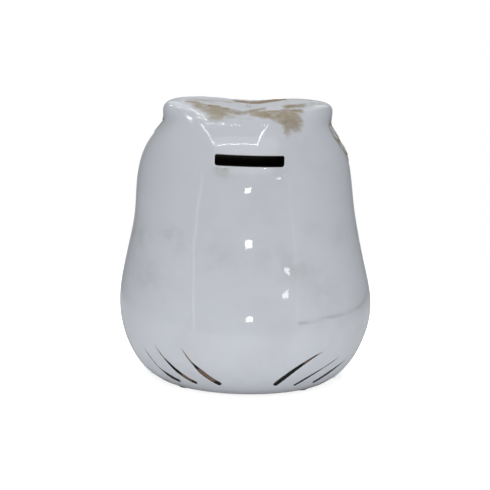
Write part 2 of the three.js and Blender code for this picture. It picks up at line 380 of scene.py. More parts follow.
def front_paint(points, turn):
    """Relief in mm and the amount of brown wash over the front of the owl."""
    x, z = points[..., 0], points[..., 2]
    aside = np.abs(x)
    facing = smooth(-0.02, 0.5, -np.cos(turn))
    past_wing = np.abs(turn) - wing_edge(turn, z)
    open_front = smooth(-0.02, 0.06, past_wing) * smooth(EAR_TOP, EAR_TOP - 6, z)
    from_eye = np.hypot(aside - EYE_X, z - EYE_Z)
    angle = np.arctan2(z - EYE_Z, aside - EYE_X)
    brow, _ = near_path(np.stack([aside, z], -1), BROW)
    in_disc = smooth(DISC_RADIUS + 2.0, DISC_RADIUS - 1.0, from_eye)
    rays = np.cos(DISC_RAYS * angle + 0.25 * from_eye)
    ray_zone = smooth(EYE_RADIUS, EYE_RADIUS + 1.5, from_eye)
    ray_zone *= smooth(DISC_RADIUS - 0.5, DISC_RADIUS - 2, from_eye)
    disc = DISC_RISE * smooth(DISC_RADIUS + 2.5, DISC_RADIUS - 3, from_eye)
    disc += 0.5 * bell((from_eye - DISC_RADIUS + 1.0) / 1.2) + 0.22 * rays * ray_zone
    eye = EYE_RISE * smooth(EYE_RADIUS, EYE_RADIUS - 6, from_eye)
    eye += 0.45 * bell((from_eye - EYE_RADIUS) / 0.8)
    beak = BEAK_RISE * bell(x / 4.6) * bell((z - BEAK_Z) / 8.5)
    toe_x = aside - TOE_X
    toe = bell(toe_x / 9) * bell((z - TOE_Z) / 6)
    split = 0.5 + 0.5 * np.cos(toe_x * 2 * math.pi / TOE_PITCH)
    toes = TOE_RISE * toe * (0.55 + 0.45 * split)
    u = turn * FEATHERS_ROUND / (2 * math.pi) + 0.10 * ripples(points, 22, 10, 31)
    v = z / FEATHER_RISE + 0.14 * ripples(points, 26, 10, 32)
    feathers, edge, off = scallops(u, v)
    above_toes = smooth(TOE_TOP, TOE_TOP + 5, z)
    plain = (1 - in_disc) * smooth(4, 9, np.hypot(x / 0.8, z - BEAK_Z)) * above_toes
    breast = open_front * plain
    rough = 0.10 * ripples(points, 2.6, 14, 3)
    shaft = 0.25 * bell(off / 0.06) * smooth(0.95, 0.6, edge)
    relief = facing * (disc + eye + beak + toes + BROW_RISE * bell(brow / 2.6))
    relief += breast * (0.75 * feathers - 0.3 + rough + shaft)
    seam = bell((past_wing - 0.04) / 0.04) * smooth(EAR_TOP, EAR_TOP - 9, z)
    relief -= 0.6 * seam * above_toes
    tips = smooth(0.80, 1.0, edge) + 0.35 * bell(off / 0.07) * smooth(0.9, 0.5, edge)
    wash = breast * (0.12 + tips + 0.5 * seam) + in_disc * ray_zone * (0.42 - 0.42 * rays)
    wash += bell((from_eye - DISC_RADIUS - 1.2) / 1.1) * smooth(1, 3, brow)
    wash += 0.9 * bell((from_eye - EYE_RADIUS - 0.8) / 0.7)
    wash += 0.55 * smooth(3.4, 1.6, brow) + 0.8 * smooth(0.2, 0.6, toe) * (1.1 - split)
    return relief, np.clip(wash, 0, 1) * np.maximum(facing, open_front)


# The crest that runs from ear to ear behind the sunken crown, seen from above
CREST = np.array([
    (34, 6), (24, 12), (15, 15.5), (8, 20), (3, 22.5), (-3, 19), (-8, 15.5), (-18, 12), (-30, 9),
], float)

# Brown wash on the crown: a bent line seen from above, half the width of the wash at its two
# ends, and how strong and how red it is
CROWN_WASHES = [
    (((29, 0), (23, 13), (15, 24)), (4.5, 4.5), 0.70, 0.15),
    (((18, 27), (9, 28)), (2.4, 2.0), 0.60, 0.1),
    (((22.5, 12.3), (14.6, 17.9), (8.4, 22.3), (4.5, 23.8), (-0.3, 22.4), (-6.6, 16)),
     (1.8, 1.4), 0.85, 0.4),
    (((-2, 24), (-10, 24.6), (-20.5, 24.8)), (1.8, 6.4), 0.78, 0.25),
    (((-3, 22), (-10.3, 20.5), (-25.6, 17.5)), (0.8, 1.4), 1.0, 0.4),
    (((-19, 27), (-18.8, 34)), (4.0, 1.0), 0.70, 0.2),
    (((-19.5, 13), (-26, 10.6)), (2.6, 2.6), 0.85, 0.5),
    (((4, -21), (-5, -18), (-14, -23)), (4.5, 6.0), 1.0, 1.0),
    (((26, -8), (10, -14)), (6.0, 5.0), 0.35, 0.0),
    (((-20, 2), (-33, 2)), (5.0, 6.0), 0.30, 0.0),
    (((-14, -29), (-24, -24), (-34, -14)), (3.0, 3.0), 0.45, 0.0),
]

# Faint grey clouds in the glaze: place seen from behind, size in mm and strength
CLOUDS = [
    ((12.4, 114.2), 2.5, 5.5), ((37, 79), 7, 0.6), ((54, 77), 6, 0.5), ((51, 59), 9, 0.55),
    ((-30, 65), 7, 0.5), ((-32, 85), 6, 0.35), ((14, 73), 9, 0.4), ((-11, 73), 9, 0.35),
    ((-47, 80), 6, 0.3), ((-40, 52), 8, 0.35), ((20, 90), 12, 0.12), ((-22, 68), 6, 0.4),
]

# Painted reflection: a faint dark line on the glaze of the -X flank, standing for a dark corner of
# the surroundings mirrored there, as (x, z) seen from behind
PAINTED_DARK_REFLECTION = np.array([
    (-27, 40.2), (-37, 41), (-47.5, 41.8), (-56, 42.5), (-60, 43.8), (-62.5, 47.5),
])
PAINTED_DARK_REFLECTION_HALF = 0.8

# Where the hand-finished form swells or sinks: place, spread and height in mm
LUMPS = [
    ((62, 0, 86), 15, -1.0), ((-61, 0, 82), 14, 0.3), ((-47, -2, 128), 8, -1.6),
    ((-66, 0, 36), 14, 0.6), ((44, 4, 141), 7, 1.2), ((28, 6, 143), 12, -0.8),
    ((0, -22, 142), 15, -0.9),
]


def crown_paint(points):
    """Relief in mm, brown wash, its redness, and where the rough crown is."""
    x, y, z = points[..., 0], points[..., 1], points[..., 2]
    plan = points[..., :2]
    top = smooth(1.06, 0.94, np.hypot(x, y + 4) / CROWN_RADIUS) * smooth(128, 134, z)
    crest, _ = near_path(plan, CREST)
    bowl = bell(np.hypot(x / 20, (y + 1) / 14))
    relief = 0.9 * bell(crest / 2.4) - 1.1 * bowl + 0.07 * ripples(points, 5.0, 12, 11)
    wash = np.zeros(z.shape)
    red = np.zeros(z.shape)
    for line, (first_half, last_half), strength, redness in CROWN_WASHES:
        gap, share = near_path(plan, np.array(line, float))
        gap = gap - first_half - share * (last_half - first_half)
        amount = strength * smooth(2.6, -2.2, gap)
        red = np.where(amount > wash, redness, red)
        wash = np.maximum(wash, amount)
    return top * relief, smooth(122, 127, z) * wash, red, top


def undulation(points):
    """The slight unevenness of a hand-finished, thickly glazed wall, in mm."""
    uneven = 0.06 * ripples(points, 42, 8, 21) + 0.02 * ripples(points, 15, 10, 22)
    for place, spread, height in LUMPS:
        uneven = uneven + height * bell(np.linalg.norm(points - np.array(place), axis=-1) / spread)
    return uneven


def clouds_and_dark_reflection(points):
    """How much grey cloud there is in the glaze of the back, with the painted dark reflection line of
    the -X flank, 0 to 1.
    """
    cloud = np.zeros(points.shape[:-1])
    for (x, z), size, strength in CLOUDS:
        cloud += strength * bell(np.hypot(points[..., 0] - x, points[..., 2] - z) / size)
    dark_reflection, _ = near_path(points[..., [0, 2]], PAINTED_DARK_REFLECTION)
    # Painted reflection: a dark line along the -X flank, mixed in with the clouds.
    cloud += bell(dark_reflection / PAINTED_DARK_REFLECTION_HALF)
    return cloud * (points[..., 1] > 0)


# ---- mesh of the casting
COLUMNS = 384
ROWS_IN_STRETCH = [9, 12, 15, 15, 12, 12, 13, 13, 13, 12, 13, 9, 8, 8, 13, 12, 10]
INNER_ROWS = [0, 1, 2, 3, 4, 6, 8, 9.2, 12, 13, 14, 15, 16]
INNER_GAP = 0.2  # least step from those rows to the ones beside the slot
BLOCK_ABOVE = 3.4  # margins round the slot of the block of cells that it goes through
BLOCK_BESIDE = 3.2
HEAD_RADIUS = 45.0  # rough radius of the head, where a search starts


def rows_up():
    """Steps up the outline where the rows of vertices lie."""
    stretches = enumerate(ROWS_IN_STRETCH)
    return np.array([stretch + k / count for stretch, count in stretches for k in range(count)])


def slot_frame(x, z):
    """Nearest point of the slot's inner core, and the step from it, in the slot's own frame."""
    place = np.stack([x - SLOT_X, z - SLOT_Z], -1) @ SLOT_AXES
    reach = np.array([SLOT_WIDTH, SLOT_HEIGHT]) / 2 - SLOT_CORNER
    core = np.clip(place, -reach, reach)
    return core, place - core


def slot_point(core, away, distance):
    """Place seen from behind at a distance outside the slot's core."""
    length = np.maximum(np.linalg.norm(away, axis=-1), 1e-9)
    place = (core + away * (distance / length)[:, None]) @ SLOT_AXES.T
    return SLOT_X + place[:, 0], SLOT_Z + place[:, 1]


class Paint:
    """Vertices and faces of the casting, with the marks that its material reads."""

    # The dark mark paints shade into the slot.
    plain = {
        "wash": 0.0, "red": 0.0, "crown": 0.0, "cloud": 0.0, "bare": 0.0, "dark": 0.0, "beak": 0.0,
        "eye": EYE_FAR, **NO_STROKE,
    }

    def __init__(self):
        self.points = []
        self.marks = {name: [] for name in self.plain}
        self.faces = []
        self.count = 0

    def add(self, points, **marks):
        points = points.reshape(-1, 3)
        first = self.count
        self.points.append(points)
        for name, default in self.plain.items():
            values = np.broadcast_to(marks.get(name, default), (len(points),))
            self.marks[name].append(np.asarray(values, float))
        self.count += len(points)
        return first + np.arange(len(points))

    def add_rows(self, points, **marks):
        """Add full turns of points, and give back the numbers of their vertices row by row."""
        return self.add(points, **marks).reshape(-1, COLUMNS)


def sheet_faces(paint, rows, low, high, left, right):
    """Quads between neighbouring rows of vertices, leaving out a block of cells."""
    for k, (above, below) in enumerate(zip(rows, rows[1:])):
        cells = np.stack([below, above, np.roll(above, -1), np.roll(below, -1)], 1)
        if low <= k < high:
            cells = np.delete(cells, np.s_[left:right], axis=0)
        paint.faces.extend(cells.tolist())


def fan_faces(paint, row, pole, outward):
    following = np.roll(row, -1)
    first, last = (row, following) if outward else (following, row)
    paint.faces.extend(np.stack([first, np.full(COLUMNS, pole), last], 1).tolist())


def ring_faces(paint, first, second):
    cells = np.stack([first, np.roll(first, -1), np.roll(second, -1), second], 1)
    paint.faces.extend(cells.tolist())


def outer_surface(turn, step):
    """Finished points of the outer surface, with the marks for its material."""
    base = body_point(turn, step)
    out = normals(turn, step)
    front, front_wash = front_paint(base, turn)
    crown, crown_wash, red, top = crown_paint(base)
    strokes = stroke_marks(base, out)
    gap = np.hypot(strokes["across"], strokes["beyond"]) - strokes["half"]
    groove = -0.3 * smooth(0.5, -0.5, gap) * strokes["dark_stroke"]
    height = front + crown + undulation(base) * smooth(FOOT, FOOT + 6, base[..., 2]) + groove
    points = base + out * height[..., None]
    facing = -np.cos(turn) > 0.2
    from_eye = np.hypot(np.abs(base[..., 0]) - EYE_X, base[..., 2] - EYE_Z)
    from_beak = np.hypot(base[..., 0] / 5.0, (base[..., 2] - BEAK_Z + 1) / 8.0)
    marks = {
        "wash": np.maximum(front_wash, crown_wash),
        "red": np.where(top > 0.2, red, 0.7),
        "crown": top,
        # the cloud mark holds the glaze clouds and the painted dark reflection line
        "cloud": clouds_and_dark_reflection(base),
        "eye": np.where(facing, from_eye, EYE_FAR),
        "beak": facing * smooth(1.0, 0.75, from_beak),
    }
    return points, {name: np.ravel(values) for name, values in (marks | strokes).items()}


def loop_of_block(rows, low, high, left, right):
    """Vertices round a block of cells of a sheet, in order."""
    return np.concatenate([
        rows[low, left:right], rows[low:high, right],
        rows[high, right:left:-1], rows[high:low:-1, left],
    ])


def underside_profile():
    """Foot ring, recess, access hole and chamber floor as radius, height and share of the sway."""
    foot_radius = BACK[0][0]
    recess = FOOT + RECESS_DEPTH
    return [
        (foot_radius - 0.5, FOOT, 1), (foot_radius - 1.2, FOOT, 1), (RECESS_RADIUS + 1.4, FOOT, 0),
        (RECESS_RADIUS + 0.5, FOOT + 0.2, 0), (RECESS_RADIUS, FOOT + 0.8, 0),
        (RECESS_RADIUS, recess - 0.9, 0), (RECESS_RADIUS - 0.8, recess, 0),
        (HOLE_RADIUS + 0.8, recess, 0), (HOLE_RADIUS, recess + 0.6, 0),
        (HOLE_RADIUS, CHAMBER_FLOOR - 0.6, 0), (HOLE_RADIUS + 0.8, CHAMBER_FLOOR, 0),
        (HOLE_RADIUS + 14, CHAMBER_FLOOR, 0),
    ]


def slot_block(turn, step):
    """First and last row, and first and last column, of the cells that the slot goes through."""
    place = body_point(turn, step)
    near = np.abs(place[:, COLUMNS // 2, 2] - SLOT_Z) < SLOT_HEIGHT / 2 + BLOCK_ABOVE
    low, high = np.where(near)[0][[0, -1]]
    near = np.abs(place[low, :, 0] - SLOT_X) < SLOT_WIDTH / 2 + BLOCK_BESIDE
    left, right = np.where(near & (place[low, :, 1] > 0))[0][[0, -1]]
    return low, high, left, right


def add_slot(paint, loop, inner_loop, step):
    """Rings from the block's edge over the rounded lip, through the wall and out inside."""
    edge = np.concatenate(paint.points)[loop]
    core, away = slot_frame(edge[:, 0], edge[:, 2])
    distance = np.linalg.norm(away, axis=-1)
    start_turn = np.arcsin(np.clip(edge[:, 0] / HEAD_RADIUS, -0.9, 0.9))
    start_step = np.full(len(edge), step)

    def on_surface(gap):
        x, z = slot_point(core, away, SLOT_CORNER + gap)
        return outer_surface(*locate(body_point, x, z, start_turn, start_step))

    rings = [loop]
    for share in (0.75, 0.5, 0.28, 0.12, 0.0):
        points, marks = on_surface(LIP + share * (distance - SLOT_CORNER - LIP))
        rings.append(paint.add(points, **marks))
    lip = on_surface(np.full(len(edge), LIP))[0]
    straight = on_surface(np.zeros(len(edge)))[0] - lip
    straight /= np.linalg.norm(straight, axis=1, keepdims=True)
    inward = np.array([0.0, -1.0, 0.0])
    # From the inner part of the lip on, and through the wall, the dark mark paints the slot near
    # black: painted shade inside the opening.
    for degrees in (18, 36, 54, 72, 90):
        bend = math.radians(degrees)
        points = lip + LIP * (math.sin(bend) * straight + (1 - math.cos(bend)) * inward)
        rings.append(paint.add(points, dark=float(smooth(64, 90, degrees))))
    place = locate(chamber_point, points[:, 0], points[:, 2], start_turn, start_step)
    through = chamber_point(*place) - points
    for share in (0.2, 0.6, 1.0):
        rings.append(paint.add(points + share * through, dark=1.0))
    rings.append(inner_loop)
    for first, second in zip(rings, rings[1:]):
        ring_faces(paint, first, second)


def casting_object(paint):
    """Object of the finished casting, with its marks as attributes."""
    mesh = bpy.data.meshes.new("owl_casting")
    mesh.from_pydata((np.concatenate(paint.points) * MM).tolist(), [], paint.faces)
    for name, values in paint.marks.items():
        mark = mesh.attributes.new(name, "FLOAT", "POINT")
        mark.data.foreach_set("value", np.concatenate(values).astype(np.float32))
    mesh.validate()
    form = bmesh.new()
    form.from_mesh(mesh)
    bmesh.ops.recalc_face_normals(form, faces=form.faces)
    form.to_mesh(mesh)
    form.free()
    mesh.shade_smooth()
    return add_object("owl_casting", mesh)


def build_casting():
    paint = Paint()
    turns = (np.arange(COLUMNS) - COLUMNS // 2) * 2 * math.pi / COLUMNS
    steps = rows_up()[::-1]
    grid = np.meshgrid(turns, steps)
    points, marks = outer_surface(*grid)
    outer = paint.add_rows(points, **marks)
    points, marks = outer_surface(np.array([0.0]), np.array([CROWN - 1e-3]))
    pole = paint.add(points, **marks)[0]
    base = []
    for radius, z, shifted in underside_profile():
        x = radius * np.sin(turns) + shifted * sway(0)
        ring = np.stack([x, radius * np.cos(turns), np.full(COLUMNS, z)], -1)
        base.append(paint.add(ring, bare=1.0))

    # Inner surface, with the same rows as the outer one beside the slot
    low, high, left, right = slot_block(*grid)
    first, last = steps[high], steps[low]
    inner_steps = [s for s in INNER_ROWS if s < first - INNER_GAP or s > last + INNER_GAP]
    inner_steps = np.array(sorted(inner_steps + steps[low:high + 1].tolist()))
    inner = paint.add_rows(chamber_point(*np.meshgrid(turns, inner_steps)), bare=1.0)
    inner_pole = paint.add(chamber_point(np.array([0.0]), np.array([float(CROWN)])), bare=1.0)[0]
    inner_low = int(np.where(inner_steps == first)[0][0])
    inner_high = int(np.where(inner_steps == last)[0][0])

    outside = [*outer, *base, *inner[:inner_low + 1]]
    sheet_faces(paint, outside, low, high, left, right)
    sheet_faces(paint, inner[inner_low:], 0, inner_high - inner_low, left, right)
    fan_faces(paint, outer[0], pole, True)
    fan_faces(paint, inner[-1], inner_pole, False)

    # The inner rows run upwards, so they are reversed to match the block outside
    count = len(inner) - 1
    inner_loop = loop_of_block(inner[::-1], count - inner_high, count - inner_low, left, right)
    loop = loop_of_block(outer, low, high, left, right)
    add_slot(paint, loop, inner_loop, steps[(low + high) // 2])
    return casting_object(paint)


# ---- node helpers
class Shader:
    """The node tree of a material or a world, built a node at a time."""

    def __init__(self, owner, output="OutputMaterial"):
        owner.use_nodes = True
        self.owner = owner
        self.tree = owner.node_tree
        self.tree.nodes.clear()
        self.output = self.tree.nodes.new("ShaderNode" + output)

    def node(self, kind, settings=None, **inputs):
        made = self.tree.nodes.new("ShaderNode" + kind)
        for key, value in (settings or {}).items():
            setattr(made, key, value)
        for key, value in inputs.items():
            self.put(made.inputs[key.replace("_", " ")], value)
        return made

    def put(self, socket, value):
        if isinstance(value, bpy.types.NodeSocket):
            self.tree.links.new(value, socket)
        else:
            socket.default_value = value

    def mark(self, name):
        return self.node("Attribute", {"attribute_name": name}).outputs["Fac"]

    def place(self):
        return self.node("TexCoord").outputs["Object"]

    def distance(self):
        """Distance from the object's origin."""
        return self.node("VectorMath", {"operation": "LENGTH"}, Vector=self.place()).outputs["Value"]

    def axes(self, vector):
        parts = self.node("SeparateXYZ", Vector=vector)
        return [parts.outputs[k] for k in range(3)]

    def noise(self, scale, detail, rough=0.5, distortion=0.0):
        return self.node("TexNoise", Vector=self.place(), Scale=scale, Detail=detail,
                         Roughness=rough, Distortion=distortion).outputs["Fac"]

    def math(self, operation, a, b=0.0, c=0.0, clamp=False):
        made = self.node("Math", {"operation": operation, "use_clamp": clamp})
        for socket, value in zip(made.inputs, (a, b, c)):
            self.put(socket, value)
        return made.outputs["Value"]

    def times(self, *values):
        product, *others = values
        for value in others:
            product = self.math("MULTIPLY", product, value)
        return product

    def span(self, value, start, end, low=0.0, high=1.0):
        made = self.node("MapRange", {"interpolation_type": "SMOOTHSTEP"}, Value=value)
        for key, number in zip(("From Min", "From Max", "To Min", "To Max"), (start, end, low, high)):
            self.put(made.inputs[key], number)
        return made.outputs["Result"]

    def mix(self, amount, a, b):
        made = self.node("Mix", {"data_type": "RGBA"})
        self.put(made.inputs[0], amount)
        self.put(made.inputs[6], a)
        self.put(made.inputs[7], b)
        return made.outputs[2]

    def bump(self, height, strength, distance, normal=None):
        made = self.node("Bump", Height=height, Strength=strength, Distance=distance)
        if normal is not None:
            self.put(made.inputs["Normal"], normal)
        return made.outputs["Normal"]

    def shader(self, kind, **inputs):
        return self.node(kind, None, **inputs).outputs[0]

    def cross(self, amount, first, second):
        """Mix of two shaders, all of the second one at an amount of 1."""
        made = self.node("MixShader")
        for socket, value in zip(made.inputs, (amount, first, second)):
            self.put(socket, value)
        return made.outputs[0]

    def show(self, surface):
        """Make a shader the surface, and give back the material or world."""
        self.tree.links.new(surface, self.output.inputs["Surface"])
        return self.owner

    def finish(self, **inputs):
        return self.show(self.shader("BsdfPrincipled", **inputs))


def new_shader(name):
    return Shader(bpy.data.materials.new(name))


# ---- materials
WHITE_GLAZE = (0.79, 0.81, 0.855, 1)
GREY_GLAZE = (0.70, 0.715, 0.735, 1)
CLOUD_AND_REFLECTION_GREY = (0.35, 0.335, 0.305, 1)
RED_WASH = (0.31, 0.195, 0.085, 1)
TAN_WASH = (0.44, 0.37, 0.22, 1)
UMBER = (0.19, 0.115, 0.055, 1)
# Near-black paint of the strokes and pupils, also used as painted shade inside the slot
DARK_WASH_AND_SLOT_SHADE = (0.012, 0.009, 0.007, 1)
STROKE_BROWNS = (0.17, 0.10, 0.065, 1), (0.28, 0.19, 0.13, 1)
IRIS_BROWNS = (0.24, 0.11, 0.03, 1), (0.12, 0.05, 0.02, 1)
HORN = (0.30, 0.17, 0.07, 1)
CLAYS = (0.60, 0.52, 0.42, 1), (0.48, 0.41, 0.33, 1)
RUBBERS = (0.022, 0.020, 0.019, 1), (0.05, 0.047, 0.043, 1)
DUST = (0.16, 0.15, 0.135, 1)
FELTS = (0.03, 0.022, 0.017, 1), (0.085, 0.068, 0.054, 1)


def white_glaze(s):
    """White glaze with faint grey patches, the grey clouds in it, and the painted dark reflection
    line that comes with the cloud mark.
    """
    colour = s.mix(s.span(s.noise(30, 4.0, 0.6), 0.46, 0.70, 0.0, 0.45), WHITE_GLAZE, GREY_GLAZE)
    mottle = s.span(s.noise(95, 5.0, 0.65), 0.36, 0.62, 0.2, 1.0)
    # The cloud mark holds real clouds in the glaze and the painted dark reflection line.
    cloud = s.math("MULTIPLY", s.times(s.mark("cloud"), mottle), 0.42, clamp=True)
    return s.mix(cloud, colour, CLOUD_AND_REFLECTION_GREY)


def brown_wash(s, colour, crown, streak):
    """Streaky crown, and brown wash caught in the relief of the front and crown."""
    dull = s.times(crown, s.span(streak, 0.42, 0.66, 0.0, 0.22))
    colour = s.mix(dull, colour, TAN_WASH)
    wash = s.math("MULTIPLY_ADD", s.math("SUBTRACT", streak, 0.5), 1.3, s.mark("wash"))
    amount = s.times(s.span(wash, 0.0, 1.0), s.span(s.mark("wash"), 0.0, 0.4))
    brown = s.mix(s.mark("red"), TAN_WASH, RED_WASH)
    brown = s.mix(s.span(s.noise(420, 4.0), 0.45, 0.75, 0.0, 0.6), brown, UMBER)
    return s.mix(s.times(amount, 0.9), colour, brown), amount


def brush_strokes(s, colour):
    """A fine brown hair, then dark, with a brown middle where the brush was full.

    Gives the colour, the distance outside the stroke's edge and how far inside a place is.
    """
    across, beyond = s.mark("across"), s.mark("beyond")
    squares = s.math("MULTIPLY_ADD", across, across, s.times(beyond, beyond))
    ragged = s.times(s.math("SUBTRACT", s.noise(1300, 3.0), 0.5), 0.35)
    edge = s.math("ADD", s.math("SUBTRACT", s.math("SQRT", squares), s.mark("half")), ragged)
    inside = s.times(s.span(edge, 0.12, -0.08), s.mark("fade"))
    core = s.times(s.mark("core"), s.span(edge, -0.2, -0.55))
    core = s.math("MAXIMUM", core, s.math("SUBTRACT", 1.0, s.mark("dark_stroke")))
    core_brown = s.mix(s.noise(700, 2.0), *STROKE_BROWNS)
    return s.mix(inside, colour, s.mix(core, DARK_WASH_AND_SLOT_SHADE, core_brown)), edge, inside


def eyes_and_beak(s, colour):
    eye = s.mark("eye")
    iris = s.mix(s.noise(300, 4.0), *IRIS_BROWNS)
    colour = s.mix(s.span(eye, IRIS + 0.2, IRIS - 0.2), colour, iris)
    colour = s.mix(s.span(eye, PUPIL + 0.2, PUPIL - 0.2), colour, DARK_WASH_AND_SLOT_SHADE)
    return s.mix(s.mark("beak"), colour, s.mix(s.noise(200, 4.0), HORN, UMBER))


def glaze_material():
    s = new_shader("glaze")
    crown = s.mark("crown")
    streak = s.noise(190, 6.0, 0.68, distortion=0.8)
    colour, wash = brown_wash(s, white_glaze(s), crown, streak)
    colour, edge, stroke = brush_strokes(s, colour)
    colour = eyes_and_beak(s, colour)

    # Slot walls painted near black as painted shade inside the opening, and the unglazed clay of the
    # foot and the inside
    colour = s.mix(s.mark("dark"), colour, DARK_WASH_AND_SLOT_SHADE)
    bare = s.span(s.mark("bare"), 0.2, 0.8)
    colour = s.mix(bare, colour, s.mix(s.noise(400, 5.0), *CLAYS))

    roughness = s.span(bare, 0.0, 1.0, 0.035, 0.8)
    matt = s.math("MAXIMUM", s.times(wash, 0.3), s.times(crown, 0.5))
    roughness = s.math("ADD", roughness, matt, clamp=True)
    shine = s.times(s.span(crown, 0.0, 1.0, 0.5, 0.15), s.span(stroke, 0, 1, 1.0, 0.35))
    combed = s.bump(s.times(streak, crown), 0.3, 0.0004)
    fine = s.bump(s.span(edge, 0.3, -0.3, 1.0, 0.0), 0.35, 0.0002, combed)
    return s.finish(Base_Color=colour, Roughness=roughness, Normal=fine, IOR=1.5,
                    Specular_IOR_Level=shine)


def rubber_material():
    s = new_shader("stopper_rubber")
    cloud = s.noise(90, 4.0)
    dust = s.span(s.noise(600, 5.0), 0.62, 0.75, 0.0, 0.35)
    colour = s.mix(dust, s.mix(cloud, *RUBBERS), DUST)
    grain = s.bump(s.noise(1500, 4.0), 0.35, 0.00015)
    return s.finish(Base_Color=colour, Roughness=s.span(cloud, 0.2, 0.8, 0.5, 0.68), Normal=grain)


def felt_material():
    s = new_shader("pad_felt")
    fibre = s.noise(1400, 6.0, 0.75, distortion=1.5)
    fuzz = s.bump(fibre, 0.9, 0.0004)
    return s.finish(Base_Color=s.mix(fibre, *FELTS), Roughness=0.95, Normal=fuzz, Sheen_Weight=0.4)


# ---- stopper and pads
FIT = 0.3  # gap between the stopper and the casting
SEAT = FOOT + RECESS_DEPTH - FIT
UNDER = SEAT - 1.8  # underside of the stopper's flange
RIB_COUNT = 3
RIB_DEPTH = 1.1
PLUG_WALL = 3.4
PLUG_FLOOR = 1.6
BEAD = [(9.5, 0), (10.2, 0.35), (11.2, 0.35), (11.9, 0)]  # moulded ring: radius, how far down
STOPPER_SIDES = 96
STOPPER_ROUNDING = 0.45
GRIP_SIDES = 48
GRIP_HALF = 8.0  # from the middle of the bar to the centre of a round end
GRIP_RADIUS = 2.4
GRIP_WAIST = 0.35
GRIP_ROOT = 0.35  # how far the bar reaches into the flange
GRIP_TURN = 0.6  # share of its height where the bar is straight-sided
PAD_SIDES = 72
PAD_FRAY = 0.12
PAD_SEED = 40

# Half section of a felt pad as shares of its radius and height
PAD_PROFILE = [
    (0.0, 0.0), (0.5, 0.0), (0.9, 0.0), (0.985, 0.12), (1.0, 0.5), (0.99, 0.9), (0.96, 1.0),
    (0.5, 1.0), (0.0, 1.0),
]


def mesh_from(form, name):
    """Mesh of a finished form, which is freed."""
    mesh = bpy.data.meshes.new(name)
    form.to_mesh(mesh)
    form.free()
    return mesh


def level_ring(radii, z, middle=(0.0, 0.0)):
    """Points of a level ring in mm, one for each radius; a ring of one is a pole."""
    turns = 2 * math.pi * np.arange(len(radii)) / len(radii)
    x = middle[0] + radii * np.cos(turns)
    y = middle[1] + radii * np.sin(turns)
    return np.stack([x, y, np.full(len(radii), z)], -1)


def skin(name, rings, capped=False):
    """Closed object through level rings of points in mm that end in poles or in flat caps."""
    form = bmesh.new()
    loops = [[form.verts.new(Vector(point * MM)) for point in ring] for ring in rings]
    sides = max(len(loop) for loop in loops)
    for low, high in zip(loops, loops[1:]):
        for i in range(sides):
            j = (i + 1) % sides
            if len(low) == 1:
                form.faces.new((low[0], high[j], high[i]))
            elif len(high) == 1:
                form.faces.new((low[i], low[j], high[0]))
            else:
                form.faces.new((low[i], low[j], high[j], high[i]))
    if capped:
        form.faces.new(loops[0])
        form.faces.new(loops[-1])
    bmesh.ops.recalc_face_normals(form, faces=form.faces)
    mesh = mesh_from(form, name)
    mesh.shade_smooth()
    return add_object(name, mesh)


def rounded(points, radius, pieces=4):
    """A profile with its corners rounded; the first and last points stay."""
    out = [points[0]]
    for before, corner, after in zip(points, points[1:], points[2:]):
        corner = np.array(corner, float)
        legs = [np.array(other) - corner for other in (before, after)]
        lengths = [np.linalg.norm(leg) for leg in legs]
        reach = min(radius, 0.45 * lengths[0], 0.45 * lengths[1])
        start, end = (corner + leg / length * reach for leg, length in zip(legs, lengths))
        for k in range(pieces + 1):
            t = k / pieces
            out.append(tuple((1 - t) ** 2 * start + 2 * t * (1 - t) * corner + t * t * end))
    out.append(points[-1])
    return out


def stopper_profile():
    """Half section of the stopper from the middle of its underside to the middle of its hollow."""
    flange, _, top = STOPPER_HIGH
    plug = HOLE_RADIUS - FIT
    groove = plug - RIB_DEPTH
    hollow = plug - PLUG_WALL
    floor = SEAT + PLUG_FLOOR
    ribs = []
    for rib in range(RIB_COUNT):
        start = SEAT + rib * (top - SEAT) / RIB_COUNT
        ribs += [(groove, start + 0.4), (plug, start + 1.1)]
        ribs += [(plug, start + 1.9), (groove, start + 2.6)]
    bead = [(radius, UNDER - drop) for radius, drop in BEAD]
    return [
        (0, UNDER), *bead, (flange, UNDER), (flange, SEAT), *ribs, (groove - 0.8, top),
        (hollow, top), (hollow - 0.6, floor), (0, floor),
    ]


def build_stopper():
    rings = []
    for radius, z in rounded(stopper_profile(), STOPPER_ROUNDING):
        rings.append(level_ring(np.full(STOPPER_SIDES if radius > 0 else 1, radius), z))
    return skin("stopper_rubber", rings)


def build_grip():
    """Bar moulded across the underside of the stopper, rounded like a bar of soap."""
    low = STOPPER_LOW[2]
    height = UNDER + GRIP_ROOT - low
    turns = 2 * math.pi * np.arange(GRIP_SIDES) / GRIP_SIDES
    centre = np.where(np.cos(turns) > 0, GRIP_HALF, -GRIP_HALF)
    rings = []
    for share in (0, 0.15, 0.35, 0.6, 0.85, 1.0):
        below = 1 - min(share / GRIP_TURN, 1)
        inset = 0.9 * (1 - math.sqrt(1 - below ** 2))
        flare = 0.5 * max(0.0, (share - GRIP_TURN) / (1 - GRIP_TURN)) ** 2
        end = GRIP_RADIUS - inset + flare
        x = centre + end * np.cos(turns)
        y = (end - GRIP_WAIST * bell(x / 5)) * np.sin(turns)
        rings.append(np.stack([x, y, np.full(GRIP_SIDES, low + height * share)], -1))
    return skin("stopper_grip", rings, capped=True)


def build_pad(index):
    low, high = millimetres(f"felt_pad_{index}")
    draw = np.random.default_rng(PAD_SEED + index)
    ragged = np.tile(draw.normal(size=PAD_SIDES), 3)
    ragged = np.convolve(ragged, np.ones(3) / 3, "same")[PAD_SIDES:2 * PAD_SIDES]
    rings = []
    for share, rise in PAD_PROFILE:
        radii = np.full(PAD_SIDES if share > 0 else 1, (high[0] - low[0]) / 2 * share)
        if share > 0.9:
            radii -= PAD_FRAY * (1 + ragged)
        rings.append(level_ring(radii, low[2] + (high[2] - low[2]) * rise, (low + high) / 2))
    return skin(f"pad_felt_{index}", rings)


